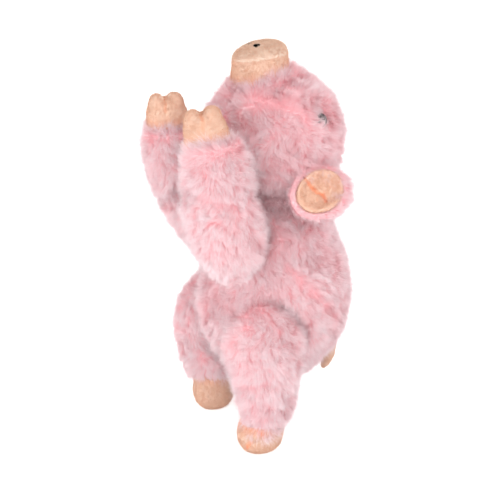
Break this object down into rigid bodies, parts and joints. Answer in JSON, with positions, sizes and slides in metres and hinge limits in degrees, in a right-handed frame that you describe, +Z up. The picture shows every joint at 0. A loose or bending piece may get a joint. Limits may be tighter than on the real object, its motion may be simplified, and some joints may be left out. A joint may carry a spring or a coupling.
{
  "type": "plush pig dog toy",
  "caption": "Stuffed plush pig for dogs, upright on its hind hooves with its front legs and snout raised, velour hooves and ear linings, button eyes, and a squeaker in the belly.",
  "frame": {"origin": "centre of the bottom of the box round the toy, on the floor that its hind hooves stand on", "axes": "+Z up through the raised snout, -Y towards the raised front legs, +X towards the pig's left"},
  "size_m": [0.1352, 0.1395, 0.2787],
  "materials": {
    "plush": "long soft pile",
    "velour": "short pile",
    "nose_velour": "short pile",
    "filling": "loose polyester fibre",
    "thread": "satin stitch",
    "eye_plastic": "gloss",
    "washer_plastic": "moulded",
    "squeaker_plastic": "moulded"
  },
  "bodies": {
    "torso": {"body_skin": "plush", "body_stuffing": "filling", "squeaker_bulb": "squeaker_plastic", "squeaker_reed": "squeaker_plastic"},
    "head": {"head_skin": "plush", "head_stuffing": "filling", "snout_band": "velour", "nose_disc": "nose_velour", "nostril_left": "thread", "eye_left": "eye_plastic", "eye_washer_left": "washer_plastic", "nostril_right": "thread", "eye_right": "eye_plastic", "eye_washer_right": "washer_plastic"},
    "tail": {"tail": "velour"},
    "ear_left": {"ear_left": "plush", "ear_left_lining": "velour"},
    "front_limb_left": {"front_leg_left": "plush", "front_leg_left_stuffing": "filling", "front_hoof_left": "velour"},
    "hind_limb_left": {"hind_leg_left": "plush", "hind_leg_left_stuffing": "filling", "hind_hoof_left": "velour"},
    "ear_right": {"ear_right": "plush", "ear_right_lining": "velour"},
    "front_limb_right": {"front_leg_right": "plush", "front_leg_right_stuffing": "filling", "front_hoof_right": "velour"},
    "hind_limb_right": {"hind_leg_right": "plush", "hind_leg_right_stuffing": "filling", "hind_hoof_right": "velour"}
  },
  "joints": [
    {"name": "neck_tilt", "type": "hinge", "parent": "torso", "child": "head", "pos_m": [0, 0.011, 0.144], "axis": [1, 0, 0], "range_deg": [-20, 0], "stiffness_Nm_per_rad": 0.5},
    {"name": "ear_left_lift", "type": "hinge", "parent": "head", "child": "ear_left", "pos_m": [0.045, 0.011, 0.203], "axis": [0, 1, 0], "range_deg": [-30, 0], "stiffness_Nm_per_rad": 0.03},
    {"name": "ear_right_lift", "type": "hinge", "parent": "head", "child": "ear_right", "pos_m": [-0.045, 0.011, 0.203], "axis": [0, -1, 0], "range_deg": [-30, 0], "stiffness_Nm_per_rad": 0.03},
    {"name": "shoulder_left", "type": "hinge", "parent": "torso", "child": "front_limb_left", "pos_m": [0.027, -0.034, 0.154], "axis": [1, 0, 0], "range_deg": [0, 75], "stiffness_Nm_per_rad": 0.15},
    {"name": "shoulder_right", "type": "hinge", "parent": "torso", "child": "front_limb_right", "pos_m": [-0.027, -0.034, 0.154], "axis": [1, 0, 0], "range_deg": [0, 75], "stiffness_Nm_per_rad": 0.15},
    {"name": "hip_left", "type": "hinge", "parent": "torso", "child": "hind_limb_left", "pos_m": [0.027, -0.013, 0.082], "axis": [1, 0, 0], "range_deg": [-60, 5], "stiffness_Nm_per_rad": 0.8},
    {"name": "hip_right", "type": "hinge", "parent": "torso", "child": "hind_limb_right", "pos_m": [-0.027, -0.013, 0.082], "axis": [1, 0, 0], "range_deg": [-60, 5], "stiffness_Nm_per_rad": 0.8},
    {"name": "tail_lift", "type": "hinge", "parent": "torso", "child": "tail", "pos_m": [0, 0.058, 0.066], "axis": [1, 0, 0], "range_deg": [0, 55], "stiffness_Nm_per_rad": 0.02}
  ]
}
